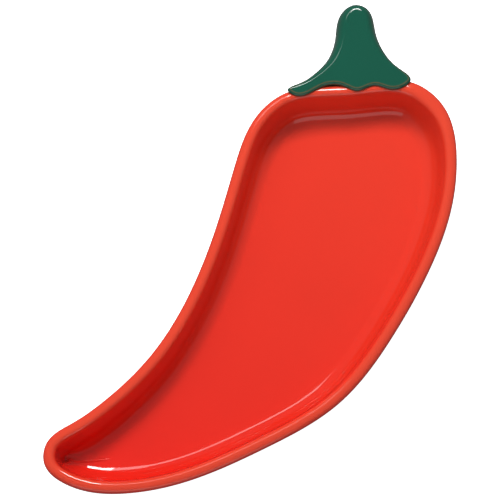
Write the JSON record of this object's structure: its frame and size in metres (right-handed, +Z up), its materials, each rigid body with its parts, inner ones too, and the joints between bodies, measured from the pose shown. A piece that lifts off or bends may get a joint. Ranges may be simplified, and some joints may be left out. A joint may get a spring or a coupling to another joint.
{
  "type": "chilli-shaped dish",
  "caption": "Shallow glazed ceramic dish in the shape of a chilli pepper, a red tray with a rounded rim and a raised green stem and cap.",
  "frame": {"origin": "on the table, under the middle of the whole dish with its stem", "axes": "+Z up, +Y along the dish from its tail to its stem, +X to the right seen from above"},
  "size_m": [0.099, 0.241, 0.0255],
  "materials": {
    "red_glaze": "gloss",
    "green_glaze": "gloss"
  },
  "bodies": {
    "root": {"dish": "red_glaze", "stem_cap": "green_glaze"}
  },
  "joints": []
}
